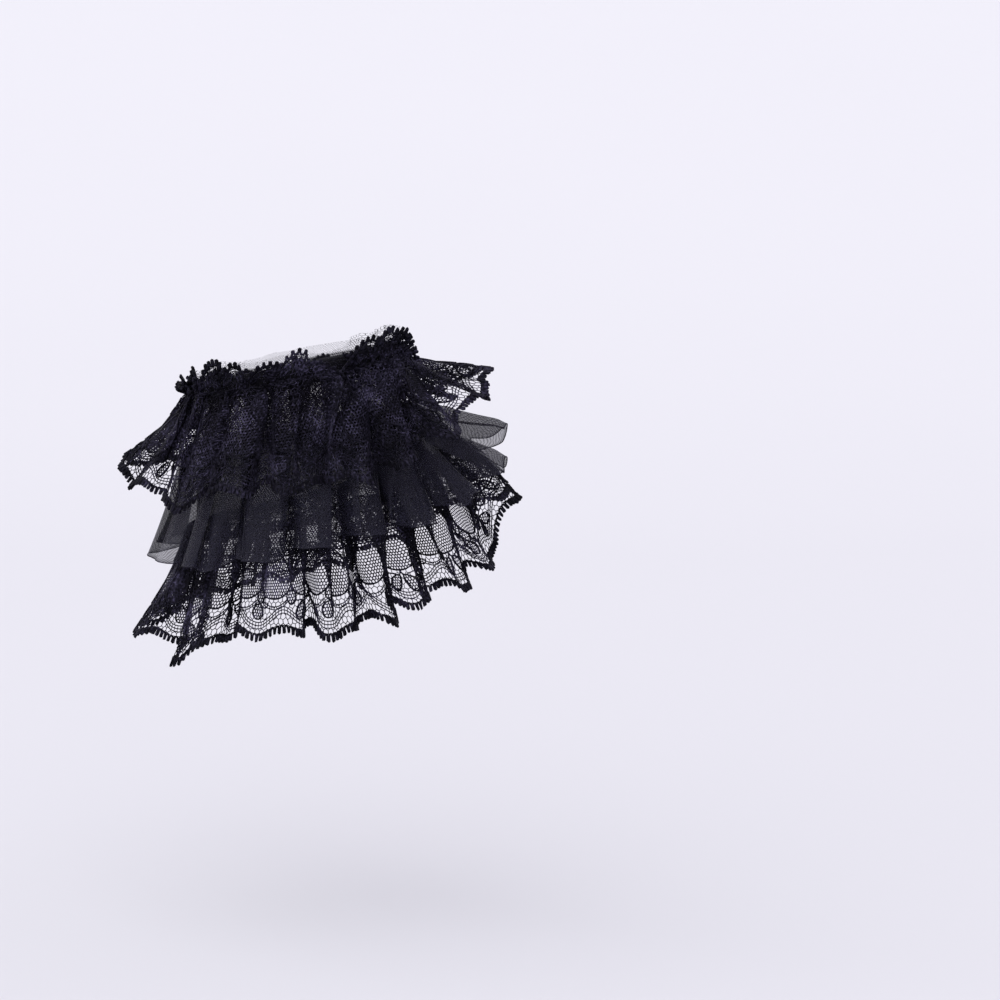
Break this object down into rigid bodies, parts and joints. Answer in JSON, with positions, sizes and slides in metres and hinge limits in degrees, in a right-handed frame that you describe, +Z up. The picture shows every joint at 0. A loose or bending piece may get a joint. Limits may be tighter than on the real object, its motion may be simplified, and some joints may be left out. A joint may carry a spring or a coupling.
{
  "type": "ruffled lace sock cuff",
  "caption": "Black sock cuff: an elastic in a net tube, with gathered lace, sheer organza and lace ruffles and a scalloped, toothed edge, flared over the heel.",
  "frame": {"origin": "middle of the elastic band on the leg's axis, where an ankle carries the cuff", "axes": "+Z up the leg, -Y to the front of the view in which the cuff is shown, +X towards the heel side where the ruffles flare"},
  "size_m": [0.1573, 0.1251, 0.1294],
  "materials": {
    "lace": "soft nylon lace, near-black with a faint violet cast, matt thread on an open net",
    "organza": "sheer crisp organza with a slight sheen, grey where one layer is lit from behind",
    "net": "fine soft net, matt",
    "elastic": "woven elastic, matt and ribbed"
  },
  "bodies": {
    "root": {"elastic_band": "elastic", "net_tube": "net", "lace_heading": "lace", "upper_lace_ruffle": "lace", "organza_ruffle": "organza", "lower_lace_ruffle": "lace"}
  },
  "joints": []
}
